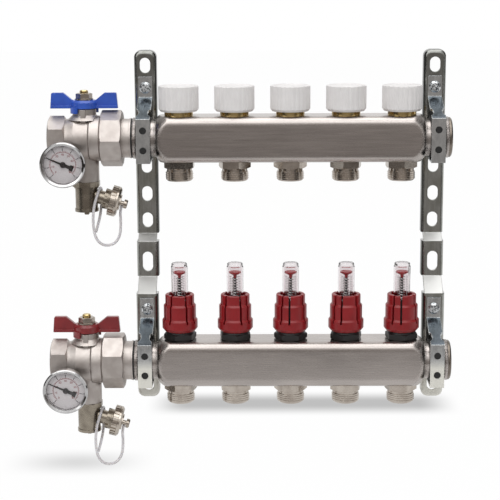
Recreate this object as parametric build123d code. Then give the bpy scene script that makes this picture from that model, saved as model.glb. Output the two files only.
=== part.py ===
from build123d import *
from math import cos, radians, sin, sqrt, tan
import os

os.makedirs("parts", exist_ok=True)

# Underfloor heating manifold with five circuits, on two wall brackets.
# X runs along the bars, Y points at the wall, Z points up. The origin lies on the wall,
# midway between the brackets and between the axes of the two bars.

# Layout
circuits = 5
circuit_pitch = 50.0
bar_pitch = 200.0

# Square bars with domed ends and round necks
bar_size = 41.0
bar_wall = 1.5
bar_corner = 7.0
bar_end_margin = 20.5
end_gap = 0.5
dome_length = 18.0
neck_od = 34.0
neck_wall = 3.0
neck_lip = 1.5
neck_flange = 3.0
plug_socket = 12.0

# Wall brackets: a strip with turned back flanges and two joggles towards the room
bracket_width = 20.0
bracket_depth = 12.0
bracket_sheet = 2.0
bracket_bend = 1.5
bracket_top = 77.0
bracket_bottom = 41.0
bracket_end_round = 6.4
upper_joggle_height = 9.5
upper_joggle_step = 8.0
lower_joggle_height = -29.5
lower_joggle_step = 16.0
joggle_slope = 0.82
slot_width = 9.5
slot_length = 13.5
long_slot_length = 18.0
top_slot_rise = 63.7
hook_slot_drop = 25.2
wall_slot_heights = (46.5, 22.0)
long_slot_height = -15.5

# Clamp straps, liners and screws
strap_width = 12.6
strap_sheet = 1.5
strap_waist = 7.8
waist_reach = 40.0
strap_tongue = 8.0
strap_plate = 20.0
liner_wall = 2.0
pip_diameter = 5.8
pip_spacing = 17.8
screw_rise = 43.6
screw_diameter = 5.0
screw_length = 9.0
screw_head = 10.5
screw_head_height = 3.2
hook_tail = 5.0

# Outlets under the bars, with a male pipe thread
port_diameter = 20.0
outlet_hex = 26.0
outlet_hex_height = 6.6
outlet_ring = 22.6
outlet_ring_height = 2.8
outlet_thread = 24.2
outlet_thread_length = 8.4
outlet_bore = 16.0
outlet_mouth = 18.3
castellations = 12
castellation_width = 2.4

# Valve inserts and their protective caps
insert_ring = 25.5
insert_ring_height = 3.4
insert_thread = 29.8
insert_thread_top = 32.0
insert_neck = 12.0
insert_neck_top = 36.5
pin_diameter = 3.5
pin_top = 41.0
shank_end = 24.0
cap_diameter = 36.0
cap_base = 24.2
cap_top = 47.0
cap_roof = 2.6
cap_flutes = 24
flute_depth = 0.35

# Flow meters
meter_hex = 26.0
meter_hex_height = 6.0
meter_base_top = 28.1
meter_neck = 18.8
meter_neck_top = 57.0
meter_bore = 12.0
collar_base = 28.4
collar_top = 61.8
collar_tiers = (26.0, 29.0, 31.8)
collar_steps = (52.6, 39.2)
collar_skirt = 31.2
collar_slots = 8
collar_slot_shift = 15.0
collar_slot_width = 1.7
collar_slot_foot = 36.0
collar_turns = (-32.0, -38.0, -5.0, -19.5, -6.0)
tube_diameter = 15.0
tube_wall = 1.2
tube_foot = 36.0
tube_top = 90.2
float_diameter = 10.8
float_drop = 7.8
float_height = 3.2
rod_diameter = 2.6
guide_height = 12.2
guide_length = 4.0
indicator_foot = 4.2

# Ball valves, measured from the stem axis towards the bar
valve_reach = 43.5
inlet_hex = 35.5
inlet_face = 32.3
inlet_hex_length = 15.4
inlet_bore = 24.1
inlet_thread_length = 15.0
barrel_diameter = 40.0
body_joint = 4.4
joint_spigot = 5.0
joint_wall = 2.2
bore_diameter = 20.0
ball_diameter = 27.0
ball_room = 0.7
seat_thickness = 2.5
seat_depth = 1.2
end_piece_diameter = 41.0
end_thread = 41.6
nut_flats = 47.0
nut_start = 15.0
nut_length = 19.0
nut_lip = 2.6
thread_depth = 1.5
thread_reach = 11.0
tail_bore = 22.0
tail_collar = 39.0
tail_diameter = 35.0
seal_thickness = 1.5
spigot_length = 12.0
bonnet_diameter = 21.0
bonnet_top = 26.6
lug_width = 4.4
lug_foot = 15.5
stem_diameter = 9.0
stem_thread = 7.6
stem_square = 6.2
stem_top = 43.4
handle_half = 30.3
handle_low = 27.3
handle_high = 41.1
handle_shoulder = 34.6
handle_hub = 23.0
wing_thickness = 4.6
wing_saddle = 10.5
wing_rise = 18.5
stop_tabs = ((202, 44), (16, 40))
tab_reach = 30.0
handle_nut_flats = 13.0
handle_nut_height = 5.0
handle_washer = 16.6
leg_diameter = 24.0
leg_foot = 38.5
leg_bore = 8.0

# Drain cocks under the valves
drain_hex = 24.0
drain_hex_height = 4.6
drain_diameter = 20.2
drain_foot = 63.5
drain_flange = 2.6
spindle_diameter = 6.0
spindle_square = 4.2
drain_plug = 12.0
drain_seat = 3.0
castle_notches = 10
spindle_reach = 3.4
outlet_tilt = 16.0
branch_height = 50.0
branch_diameter = 12.6
branch_ring = 18.6
branch_thread = 18.4
branch_thread_length = 5.0
branch_bore = 8.0
drain_cap_diameter = 28.0
drain_cap_start = 22.0
drain_cap_length = 8.6
drain_cap_ribs = 26
drain_rib_depth = 1.0
drain_rib_width = 2.1
drain_rib_length = 4.8
nub_diameter = 8.4
nub_stem = 4.4
nub_rise = 3.2
cap_crown = 14.4
cord_diameter = 2.5

# Dial thermometers in front of the valves
gauge_x = -16.6
gauge_z = -19.7
gauge_boss = 20.0
gauge_boss_front = 22.0
gauge_diameter = 40.4
gauge_case_depth = 9.0
gauge_shank = 14.0
gauge_boss_rim = 3.0
gauge_boss_depth = 2.4
gauge_back = 3.4
bezel_step = 0.9
bezel_length = 3.0
lens_cover = 0.6
lens_seat = 2.6
dial_seat = 1.2
dial_sheet = 0.6
gauge_stem = 9.0
dial_diameter = 36.0
lens_thickness = 0.8
needle_length = 15.5
needle_turn = 67.0

# Clearances
fit_gap = 0.1
seat_gap = 0.15
running_gap = 0.05
wide_gap = 0.3

# Places worked out from the sizes above
half_bar = bar_size / 2
bar_half_length = circuit_pitch * (circuits - 1) / 2 + bar_end_margin
bracket_x = bar_half_length + end_gap + bracket_width / 2
neck_bore = neck_od - 2 * neck_wall
neck_flange_od = neck_od + 2 * neck_lip
neck_end = bar_half_length + end_gap + bracket_width
bar_back = neck_od / 2 + liner_wall + fit_gap
return_y = -bracket_depth - bar_back
supply_y = return_y - upper_joggle_step - lower_joggle_step
return_z = bar_pitch / 2
supply_z = -bar_pitch / 2
valve_x = -(neck_end + valve_reach)
float_top = tube_top - float_drop
cavity = ball_diameter / 2 + ball_room
seat_face = ball_diameter / 2 - seat_thickness / 2 - seat_depth
circuit_xs = [circuit_pitch * (i - (circuits - 1) / 2) for i in range(circuits)]
return_at = Pos(0, return_y, return_z)
supply_at = Pos(0, supply_y, supply_z)


def turned(*profile):
    """Solid of revolution about Z from radius and height pairs."""
    outline = Plane.XZ * Polyline(*profile, close=True)
    return revolve(make_face(outline), Axis.Z)


def ring(inner, outer, low, high):
    return turned((inner, low), (outer, low), (outer, high), (inner, high))


def rod(diameter, low, high):
    return Pos(0, 0, low) * Cylinder(
        diameter / 2, high - low, align=(Align.CENTER, Align.CENTER, Align.MIN)
    )


def prism(flats, sides, low, high, turn=0.0):
    outline = RegularPolygon(flats / 2, sides, major_radius=False, rotation=turn)
    return Pos(0, 0, low) * extrude(outline, amount=high - low)


def chamfered_prism(flats, sides, low, high, turn=0.0, low_cut=0.0, high_cut=0.0):
    """Polygonal nut blank whose corners are turned off at the ends."""
    corner = flats / 2 / cos(radians(180 / sides))
    reach = corner + 1.0
    face = flats / 2 - 0.3
    slope = 0.5
    profile = [(0, low), (reach, low), (reach, high), (0, high)]
    if low_cut:
        profile[1:2] = [(face, low), (reach, low + (reach - face) * slope)]
    if high_cut:
        profile[-2:-1] = [(reach, high - (reach - face) * slope), (face, high)]
    return prism(flats, sides, low, high, turn) & turned(*profile)


def notches(count, radius, width, depth, low, high, turn=0.0):
    """Blocks that cut a ring of castellations."""
    block = Pos(radius, 0, (low + high) / 2) * Box(2 * depth, width, high - low)
    return [Rot(0, 0, turn + i * 360 / count) * block for i in range(count)]


def slot_cutter(x, y, z, width, length):
    profile = SlotOverall(length, width, rotation=90)
    return Pos(x, y, z) * extrude(Plane.XZ * profile, amount=bracket_depth * 4, both=True)


# Brackets
def channel(y_front, low, high):
    """Flat stretch of the bracket, with both flanges turned back to the same depth."""
    outer = RectangleRounded(bracket_width, 2 * bracket_depth, bracket_bend + bracket_sheet)
    inner_width = bracket_width - 2 * bracket_sheet
    inner = RectangleRounded(inner_width, 2 * (bracket_depth - bracket_sheet), bracket_bend)
    back = Pos(0, bracket_depth) * Rectangle(bracket_width * 2, 2 * bracket_depth)
    section = outer - inner - back
    return Pos(0, y_front + bracket_depth, low) * extrude(section, amount=high - low)


def end_stretch(y_front, low, high, rounded_at):
    """Stretch at one end of the bracket, where the flange runs right round the rounded end."""
    length = high - low + bracket_width
    middle = high - length / 2 if rounded_at == high else low + length / 2

    def block(inset, depth):
        corner = bracket_end_round - inset
        outline = RectangleRounded(bracket_width - 2 * inset, length - 2 * inset, corner)
        body = Pos(0, y_front + inset, middle) * extrude(Plane.XZ * outline, amount=-depth)
        front = body.faces().sort_by(Axis.Y)[0]
        return fillet(front.edges(), bracket_bend + bracket_sheet - inset)

    shell = block(0, bracket_depth) - block(bracket_sheet, 2 * bracket_depth)
    kept = Pos(0, y_front, (low + high) / 2) * Box(2 * bracket_width, 4 * bracket_depth, high - low)
    return shell & kept


def joggle(y_back, y_front, top, bottom):
    """Sloping web between two stretches, without flanges."""
    outline = Plane.YZ * Polyline(
        (y_back, top),
        (y_back + bracket_sheet, top),
        (y_back + bracket_sheet, top - bracket_sheet / 2),
        (y_front + bracket_sheet, bottom - bracket_sheet / 2),
        (y_front + bracket_sheet, bottom - bracket_sheet),
        (y_front, bottom - bracket_sheet),
        (y_front, bottom),
        close=True,
    )
    width = bracket_width - 2 * bracket_bend
    return extrude(make_face(outline), amount=width / 2, both=True)


def bracket():
    upper_y = -bracket_depth
    middle_y = upper_y - upper_joggle_step
    lower_y = middle_y - lower_joggle_step
    middle_top = upper_joggle_height - upper_joggle_step * joggle_slope
    lower_top = lower_joggle_height - lower_joggle_step * joggle_slope
    top = return_z + bracket_top
    bottom = supply_z - bracket_bottom
    strip = end_stretch(upper_y, upper_joggle_height, top, top)
    strip += joggle(upper_y, middle_y, upper_joggle_height, middle_top)
    strip += channel(middle_y, lower_joggle_height, middle_top)
    strip += joggle(middle_y, lower_y, lower_joggle_height, lower_top)
    strip += end_stretch(lower_y, bottom, lower_top, bottom)
    for height in (return_z + top_slot_rise, *wall_slot_heights):
        strip -= slot_cutter(0, 0, height, slot_width, slot_length)
    for height in (return_z - hook_slot_drop, supply_z - hook_slot_drop, long_slot_height):
        strip -= slot_cutter(0, 0, height, slot_width, long_slot_length)
    for axis_z in (return_z, supply_z):
        strip -= Pos(0, 0, axis_z + screw_rise) * screw_hole(fit_gap)
    return strip


def screw_hole(gap):
    return Rot(90, 0, 0) * Cylinder(screw_diameter / 2 + gap, bracket_depth * 8)


# Clamps: the strap hangs in a bracket slot, runs under and in front of the neck,
# and comes back over it to a plate that is screwed to the bracket.
def strap():
    """Strap about the neck axis, with the bracket web at y = bar_back."""
    inner = neck_od / 2 + liner_wall + fit_gap
    web = bar_back
    plate_low = screw_rise - strap_plate / 2
    hook_high = -hook_slot_drop + long_slot_length / 2 + hook_tail
    behind = web + bracket_sheet + seat_gap
    over = inner + strap_sheet
    front = -inner - strap_sheet
    outline = Polyline(
        (web, plate_low + strap_plate),
        (web - strap_sheet, plate_low + strap_plate),
        (web - strap_sheet, plate_low + strap_sheet),
        (front + 3, over),
        (front, over - 1.5),
        (front, -over),
        (behind + strap_sheet, -over),
        (behind + strap_sheet, hook_high),
        (behind, hook_high),
        (behind, -inner),
        (front + strap_sheet, -inner),
        (front + strap_sheet, inner - 0.6),
        (front + 3.6, inner),
        (web, plate_low),
        close=True,
    )
    sheet = extrude(make_face(Plane.YZ * outline), amount=strap_width / 2, both=True)
    for side in (-1, 1):
        shoulder = Pos(side * (strap_width + strap_tongue) / 2, web + bar_back / 2 - 2.0, -inner)
        sheet -= shoulder * Box(strap_width, bar_back, 4 * strap_sheet + 20.0)
    waist_z = (plate_low + over) / 2
    waist_cut = (strap_width - strap_waist) / 2
    waist = Cylinder(waist_cut, waist_reach)
    for side in (-1, 1):
        groove = Pos(side * strap_width / 2, -inner / 2, waist_z) * scale(waist, (1, 2.4, 1))
        sheet -= groove
    sheet -= Pos(0, 0, screw_rise) * screw_hole(fit_gap)
    for pip_z in (pip_spacing / 2, -pip_spacing / 2):
        hole = Pos(0, front, pip_z) * Rot(90, 0, 0) * Cylinder(pip_diameter / 2 + fit_gap, 8.0)
        sheet -= hole
    return sheet


def liner():
    """Rubber sleeve round the neck, with two pips that poke through the strap."""
    sleeve = ring(neck_od / 2 + running_gap, neck_od / 2 + liner_wall, -strap_width / 2, strap_width / 2)
    sleeve = Rot(0, 90, 0) * sleeve
    root = neck_od / 2 + liner_wall
    reach = root + fit_gap + strap_sheet + 0.5
    core = Rot(0, 90, 0) * Cylinder(neck_od / 2 + 0.8, strap_width * 2)
    for pip_z in (pip_spacing / 2, -pip_spacing / 2):
        pip = Pos(0, -reach / 2, pip_z) * Rot(90, 0, 0) * Cylinder(pip_diameter / 2, reach)
        sleeve += pip - core
    return sleeve


def clamp_screw():
    """Pan head screw with a cross recess, its head on the strap plate."""
    seat = -bar_back + strap_sheet
    head = turned(
        (0, 0),
        (screw_head / 2, 0),
        (screw_head / 2, 0.9),
        (screw_head / 2 - 1.6, screw_head_height - 0.4),
        (0, screw_head_height),
    )
    for turn in (45, 135):
        recess = Pos(0, 0, screw_head_height) * Rot(0, 0, turn) * Box(6.0, 1.2, 3.0)
        head -= recess
    shank = rod(screw_diameter, -screw_length, 0)
    screw = head + shank
    return Pos(0, -seat, screw_rise) * Rot(90, 0, 0) * screw


# Bars
def rounded_bar(size, corner, half_length, inset):
    """Square tube form whose ends are spun down to a dome."""
    side = RectangleRounded(size, size, corner)
    blank = Rot(0, 90, 0) * extrude(side, amount=half_length, both=True)
    widest = size / sqrt(2) - corner * (sqrt(2) - 1) + 1.0
    start = bar_half_length - dome_length
    nose = neck_od / 2 - inset
    crown = (widest + nose) / 2 + 1.6
    arc = ThreePointArc(
        (start, widest), (bar_half_length - dome_length / 3, crown), (bar_half_length - inset, nose)
    )
    half_outline = [
        Line((0, 0), (0, widest)),
        Line((0, widest), (start, widest)),
        arc,
        Line((bar_half_length - inset, nose), (bar_half_length - inset, 0)),
        Line((bar_half_length - inset, 0), (0, 0)),
    ]
    dome = revolve(make_face(half_outline), Axis.X)
    return blank & (dome + mirror(dome, Plane.YZ))


def bar():
    necks = Rot(0, 90, 0) * Cylinder(neck_od / 2, 2 * neck_end)
    flange = Rot(0, 90, 0) * Cylinder(neck_flange_od / 2, neck_flange)
    outer = rounded_bar(bar_size, bar_corner, bar_half_length, 0.0) + necks
    inner_size = bar_size - 2 * bar_wall
    inner = rounded_bar(inner_size, bar_corner - bar_wall, bar_half_length, bar_wall)
    inner += Rot(0, 90, 0) * Cylinder(neck_bore / 2, 2 * neck_end + 2)
    for side in (-1, 1):
        outer += Pos(side * (neck_end - neck_flange / 2), 0, 0) * flange
    shell = outer - inner
    ports = [Pos(x, 0, 0) * Cylinder(port_diameter / 2, bar_size * 1.5) for x in circuit_xs]
    return shell - ports


def end_plug():
    """Plug with a hexagon socket, screwed into the right neck."""
    plug = turned(
        (0, -spigot_length),
        (neck_bore / 2 - fit_gap, -spigot_length),
        (neck_bore / 2 - fit_gap, 0),
        (neck_flange_od / 2 - 0.5, 0),
        (neck_flange_od / 2 - 0.5, 1.8),
        (neck_flange_od / 2 - 1.7, 3.0),
        (0, 3.0),
    )
    plug -= prism(plug_socket, 6, -6.0, 3.1)
    return Pos(neck_end, 0, 0) * Rot(0, 90, 0) * plug


# Outlets
def outlet(castellated, turn):
    """Nipple below the bar; its spigot passes through the bar wall."""
    top = -half_bar
    ring_top = top - outlet_hex_height
    thread_top = ring_top - outlet_ring_height
    foot = thread_top - outlet_thread_length
    spigot_top = top + bar_wall + 2.0
    spigot = rod(port_diameter - 2 * fit_gap, top, spigot_top)
    blank = chamfered_prism(outlet_hex, 6, ring_top, top, turn, low_cut=1.0)
    collar = rod(outlet_ring, thread_top, ring_top)
    thread = turned(
        (0, foot), (outlet_thread / 2 - 1.2, foot), (outlet_thread / 2, foot + 1.2),
        (outlet_thread / 2, thread_top), (0, thread_top),
    )
    if castellated:
        collar -= notches(
            castellations, outlet_ring / 2, castellation_width, 1.4, thread_top, ring_top, turn
        )
    nipple = spigot + blank + collar + thread
    mouth = turned(
        (0, foot - 1), (outlet_mouth / 2, foot - 1), (outlet_mouth / 2, foot),
        (outlet_bore / 2, thread_top), (outlet_bore / 2, spigot_top + 1), (0, spigot_top + 1),
    )
    return nipple - mouth


# Return circuits
def valve_insert(turn):
    """Insert that crosses the bar: ring and cap thread above, shank seated in the outlet."""
    top = half_bar
    port = port_diameter / 2 - fit_gap
    shank = outlet_bore / 2 - fit_gap
    insert = turned(
        (0, -shank_end),
        (shank, -shank_end),
        (shank, -half_bar + bar_wall + 3.0),
        (shank + 0.8, -half_bar + bar_wall + 4.0),
        (shank + 0.8, top - bar_wall - 1.0),
        (port, top - bar_wall - 1.0),
        (port, top),
        (insert_ring / 2, top),
        (insert_ring / 2, top + insert_ring_height),
        (insert_ring / 2 - 1.2, top + insert_ring_height + 0.4),
        (insert_ring / 2 - 1.2, top + insert_ring_height + 0.9),
        (insert_thread / 2, top + insert_ring_height + 1.6),
        (insert_thread / 2, insert_thread_top),
        (insert_neck / 2, insert_thread_top),
        (insert_neck / 2, insert_neck_top),
        (pin_diameter / 2, insert_neck_top),
        (pin_diameter / 2, pin_top),
        (0, pin_top),
    )
    insert -= notches(
        castellations, insert_ring / 2, castellation_width, 1.2,
        top + 0.9, top + insert_ring_height + 0.1, turn
    )
    insert -= rod(shank * 1.25, -shank_end - 1, -2.0)
    for axis_turn in (0, 90):
        window = Rot(0, 0, axis_turn) * Rot(90, 0, 0) * Cylinder(4.0, 4 * shank)
        insert -= Pos(0, 0, -7.5) * window
    return insert


def protective_cap():
    outer = cap_diameter / 2
    bore = insert_thread / 2 + fit_gap
    cap = turned(
        (bore, cap_base),
        (outer - 1.8, cap_base),
        (outer, cap_base + 2.2),
        (outer, cap_top - 0.7),
        (outer - 0.7, cap_top),
        (outer - 2.6, cap_top),
        (outer - 3.4, cap_top - 0.7),
        (0, cap_top - 0.7),
        (0, pin_top + seat_gap),
        (3.0, pin_top + seat_gap),
        (3.0, cap_top - cap_roof),
        (bore - 1.2, cap_top - cap_roof),
        (bore - 1.2, insert_thread_top + seat_gap),
        (bore, insert_thread_top + seat_gap),
    )
    flute_radius = 3.2
    flute = Pos(outer + flute_radius - flute_depth, 0, 0) * Cylinder(flute_radius, 4 * cap_top)
    flutes = [Rot(0, 0, i * 360 / cap_flutes) * flute for i in range(cap_flutes)]
    return cap - flutes


# Flow meters
def meter_base(turn):
    """Black base whose hollow shank crosses the bar and guides the indicator rod."""
    top = half_bar
    port = port_diameter / 2 - fit_gap
    shank = outlet_bore / 2 - fit_gap
    bore = meter_bore / 2
    cone = turned(
        (0, top + meter_hex_height - 0.5),
        (meter_hex / 2 - 0.2, top + meter_hex_height - 0.5),
        (meter_hex / 2 - 1.2, meter_base_top),
        (0, meter_base_top),
    )
    hexagon = chamfered_prism(meter_hex, 6, top, top + meter_hex_height, turn, low_cut=1, high_cut=1)
    neck = rod(meter_neck, meter_base_top - 1, meter_neck_top)
    body = turned(
        (0, -shank_end),
        (shank, -shank_end),
        (shank, top - bar_wall - 1.0),
        (port, top - bar_wall - 1.0),
        (port, top + 1),
        (0, top + 1),
    )
    guide_bore = rod_diameter / 2 + running_gap
    hollow = turned(
        (0, -shank_end - 1),
        (bore, -shank_end - 1),
        (bore, guide_height),
        (guide_bore, guide_height),
        (guide_bore, guide_height + guide_length),
        (bore, guide_height + guide_length),
        (bore, tube_foot),
        (tube_diameter / 2 + running_gap, tube_foot),
        (tube_diameter / 2 + running_gap, meter_neck_top + 1),
        (0, meter_neck_top + 1),
    )
    base = hexagon + cone + neck + body - hollow
    for axis_turn in (0, 90):
        window = Rot(0, 0, axis_turn) * Rot(90, 0, 0) * Cylinder(3.6, 4 * shank)
        base -= Pos(0, 0, -1.0) * window
    return base


def regulating_collar(turn):
    """Slotted collar in three tiers round the meter neck."""
    small, middle, large = [tier / 2 for tier in collar_tiers]
    upper_step, lower_step = collar_steps
    bore = meter_neck / 2 + wide_gap
    collar = turned(
        (bore, collar_base),
        (small + 0.7, collar_base),
        (large, collar_skirt),
        (large, lower_step - 0.9),
        (middle, lower_step + 0.9),
        (middle, upper_step - 0.9),
        (small, upper_step + 0.9),
        (small, collar_top - 0.6),
        (small - 0.6, collar_top),
        (bore, collar_top),
    )
    gap_angles = [turn + i * 360 / collar_slots + (i % 2) * collar_slot_shift for i in range(collar_slots)]
    length = collar_top - collar_slot_foot + 1
    reach = 2 * large - 2 * bore + 3
    cutter = Pos(large, 0, collar_slot_foot + length / 2) * Box(reach, collar_slot_width, length)
    return collar - [Rot(0, 0, angle - 90) * cutter for angle in gap_angles]


def meter_tube():
    outer = tube_diameter / 2
    inner = outer - tube_wall
    return turned(
        (inner, tube_foot + seat_gap),
        (outer, tube_foot + seat_gap),
        (outer, meter_neck_top + fit_gap),
        (meter_neck / 2 - 0.4, meter_neck_top + fit_gap),
        (outer, meter_neck_top + 2.4),
        (outer, tube_top - 3.2),
        (outer - 0.5, tube_top - 2.6),
        (outer - 0.5, tube_top - 0.6),
        (outer - 1.1, tube_top),
        (0, tube_top),
        (0, tube_top - 2.2),
        (inner, tube_top - 2.2),
    )


def flow_indicator():
    """Red float on its rod; the foot of the rod hangs under the guide."""
    radius = rod_diameter / 2
    return turned(
        (0, guide_height - indicator_foot),
        (meter_bore / 2 - 1.0, guide_height - indicator_foot),
        (meter_bore / 2 - 1.0, guide_height - seat_gap),
        (radius, guide_height - seat_gap),
        (radius, float_top - float_height - 1.5),
        (radius + 0.6, float_top - float_height),
        (float_diameter / 2, float_top - 1.2),
        (float_diameter / 2, float_top),
        (0, float_top),
    )


# Ball valves, about the crossing of the pipe axis and the stem axis
def along_pipe(shape):
    return Rot(0, 90, 0) * shape


def facing_room(shape):
    return Rot(90, 0, 0) * shape


def valve_body():
    bore = bore_diameter / 2
    barrel = barrel_diameter / 2
    hex_end = -inlet_face + inlet_hex_length
    shoulder = chamfered_prism(inlet_hex, 6, -inlet_face, hex_end, 0, low_cut=1, high_cut=1)
    shell = turned(
        (0, hex_end - 2),
        (inlet_hex / 2 - 1, hex_end - 2),
        (barrel - 2.0, hex_end + 3),
        (barrel - 0.4, hex_end + 8),
        (barrel, body_joint - 4),
        (barrel, body_joint - 0.4),
        (barrel - 0.4, body_joint),
        (0, body_joint),
    )
    pipe = along_pipe(shoulder + shell)
    bonnet = rod(bonnet_diameter, 0, bonnet_top)
    root = bonnet_diameter / 2
    skirt = Pos(0, 0, barrel - 3) * turned((0, 0), (root + 4.5, 0), (root, 4.5), (0, 4.5))
    lug = Box(lug_width, lug_width, bonnet_top - lug_foot)
    lug = Pos(0, -bonnet_diameter / 2, (lug_foot + bonnet_top) / 2) * lug
    leg = rod(leg_diameter, -leg_foot, 0)
    boss = Pos(gauge_x, 0, gauge_z) * facing_room(rod(gauge_boss, -4.0, gauge_boss_front))
    casting = pipe + bonnet + skirt + lug + leg + boss
    casting -= along_pipe(rod(end_piece_diameter + 2 * fit_gap, body_joint, 2 * nut_start))
    casting += along_pipe(rod(2 * (cavity + joint_wall), 0, body_joint + joint_spigot))
    passage = turned(
        (0, -inlet_face - 1),
        (inlet_bore / 2, -inlet_face - 1),
        (inlet_bore / 2, -inlet_face + inlet_thread_length),
        (bore, -inlet_face + inlet_thread_length + 1.5),
        (bore, -seat_face),
        (cavity, -seat_face),
        (cavity, body_joint + 20),
        (0, body_joint + 20),
    )
    casting -= along_pipe(passage)
    casting -= rod(stem_diameter + 2 * running_gap, 0, bonnet_top + 1)
    casting -= rod(leg_bore, -leg_foot - 1, -ball_diameter / 2)
    spigot_hole = rod(drain_diameter - 2 + 2 * fit_gap, -leg_foot - 1, -leg_foot + 6)
    casting -= spigot_hole
    well = facing_room(rod(gauge_stem + 2 * fit_gap, 8.0, gauge_boss_front + 1))
    casting -= Pos(gauge_x, 0, gauge_z) * well
    return casting


def end_piece():
    """Right half of the valve body, with the male thread under the union nut."""
    bore = bore_diameter / 2
    counterbore = cavity + joint_wall + fit_gap
    radius = end_piece_diameter / 2
    piece = turned(
        (cavity, body_joint + joint_spigot + fit_gap),
        (counterbore, body_joint + joint_spigot + fit_gap),
        (counterbore, body_joint + fit_gap),
        (radius - 0.6, body_joint + fit_gap),
        (radius, body_joint + 1.0),
        (radius, nut_start - seat_gap - 1.2),
        (radius - 0.8, nut_start - seat_gap),
        (end_thread / 2 - thread_depth, nut_start - seat_gap),
        (end_thread / 2 - thread_depth, nut_start + thread_reach),
        (bore, nut_start + thread_reach),
        (bore, seat_face),
        (cavity, seat_face),
    )
    return along_pipe(piece)


def ball_seat(side):
    inner, outer = bore_diameter / 2, cavity - fit_gap
    seat = ring(inner, outer, seat_face - seat_thickness, seat_face - seat_gap)
    seat -= Sphere(ball_diameter / 2 + running_gap)
    return along_pipe(Rot(0, 90 - 90 * side, 0) * seat)


def ball():
    sphere = Sphere(ball_diameter / 2) - along_pipe(Cylinder(bore_diameter / 2, ball_diameter * 2))
    return sphere - Pos(0, 0, ball_diameter / 2) * Box(20.0, 3.0, 4.0)


def valve_stem():
    stem = rod(stem_diameter, ball_diameter / 2 + running_gap, handle_low + 0.6)
    tang = Pos(0, 0, ball_diameter / 2) * Box(8.0, 2.8, 3.4)
    square = Pos(0, 0, handle_low) * extrude(
        Rectangle(stem_square, stem_square), amount=handle_shoulder - handle_low
    )
    thread = turned(
        (0, handle_shoulder),
        (stem_thread / 2, handle_shoulder),
        (stem_thread / 2, stem_top - 0.8),
        (stem_thread / 2 - 0.8, stem_top),
        (0, stem_top),
    )
    return stem + tang + square + thread


def handle():
    """Winged lever with a hub skirt whose two tabs stop against the bonnet lug."""
    wing = Polyline(
        (-handle_half, handle_low),
        (-handle_half + 1.2, handle_high),
        (-wing_rise, handle_high),
        (-wing_saddle, handle_shoulder),
        (wing_saddle, handle_shoulder),
        (wing_rise, handle_high),
        (handle_half - 1.2, handle_high),
        (handle_half, handle_low),
        close=True,
    )
    plate = extrude(make_face(Plane.XZ * wing), amount=wing_thickness / 2, both=True)
    plate = fillet(plate.edges().filter_by(Axis.Y).group_by(Axis.Z)[-1], 1.2)
    foot = Pos(0, 0, handle_low + 1.2) * Box(2 * handle_half - 1.0, wing_thickness + 3.4, 2.4)
    hub = turned(
        (0, handle_low),
        (handle_hub / 2, handle_low),
        (handle_hub / 2, handle_shoulder - 2.0),
        (handle_hub / 2 - 1.6, handle_shoulder),
        (0, handle_shoulder),
    )
    tab_inner = bonnet_diameter / 2 + 0.5
    tab_outer = handle_hub / 2 + 1.4
    tabs = []
    for start, span in stop_tabs:
        sector = ring(tab_inner, tab_outer, bonnet_top - 3.6, handle_low + 1.5)
        wedge = Polyline(
            (0, 0),
            (tab_reach * cos(radians(start)), tab_reach * sin(radians(start))),
            (tab_reach * cos(radians(start + span)), tab_reach * sin(radians(start + span))),
            close=True,
        )
        tabs.append(sector & Pos(0, 0, bonnet_top - 5) * extrude(make_face(wedge), amount=20))
    grip = plate + foot + hub + tabs
    grip -= rod(stem_diameter + 2 * fit_gap, handle_low - 1, handle_low + 0.6 + fit_gap)
    grip -= Pos(0, 0, handle_low - 1) * extrude(
        Rectangle(stem_square + 2 * fit_gap, stem_square + 2 * fit_gap), amount=12
    )
    return grip


def handle_nut():
    low = handle_shoulder + fit_gap
    washer = rod(handle_washer, low, low + 1.2)
    blank = chamfered_prism(handle_nut_flats, 6, low + 1.0, low + handle_nut_height + 1.0, 12, high_cut=1)
    return washer + blank - rod(stem_thread + 2 * running_gap, low - 1, stem_top + 1)


def union_nut(turn):
    """Octagonal union nut that draws the tail against the end piece."""
    end = nut_start + nut_length
    nut = chamfered_prism(nut_flats, 8, nut_start, end, turn, low_cut=1, high_cut=1)
    hollow = turned(
        (0, nut_start - 1),
        (end_thread / 2 - thread_depth + fit_gap, nut_start - 1),
        (end_thread / 2 - thread_depth + fit_gap, nut_start + thread_reach),
        (tail_collar / 2 + 0.2, nut_start + thread_reach),
        (tail_collar / 2 + 0.2, end - nut_lip),
        (tail_diameter / 2 + 0.2, end - nut_lip),
        (tail_diameter / 2 + 0.2, end + 1),
        (0, end + 1),
    )
    return along_pipe(nut - hollow)


def union_tail():
    """Tail held by the nut at one end, with a spigot in the neck of the bar at the other."""
    lip = nut_start + nut_length - nut_lip - fit_gap
    face = valve_reach - seal_thickness
    tail = turned(
        (tail_bore / 2, nut_start + thread_reach + fit_gap),
        (tail_collar / 2, nut_start + thread_reach + fit_gap),
        (tail_collar / 2, lip),
        (tail_diameter / 2, lip),
        (tail_diameter / 2, face - 1.6),
        (neck_flange_od / 2 - 0.5, face - 1.6),
        (neck_flange_od / 2 - 0.5, face),
        (neck_bore / 2 - fit_gap, face),
        (neck_bore / 2 - fit_gap, valve_reach + spigot_length),
        (tail_bore / 2, valve_reach + spigot_length),
    )
    return along_pipe(tail)


def union_seal():
    face = valve_reach - seal_thickness
    return along_pipe(ring(neck_bore / 2, neck_flange_od / 2 - 0.9, face, valve_reach))


# Drain cocks
def on_branch(shape):
    """Place a shape, drawn about Z, on the tilted side outlet of the drain."""
    return Pos(0, 0, -branch_height) * Rot(0, 90 + outlet_tilt, 0) * shape


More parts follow.
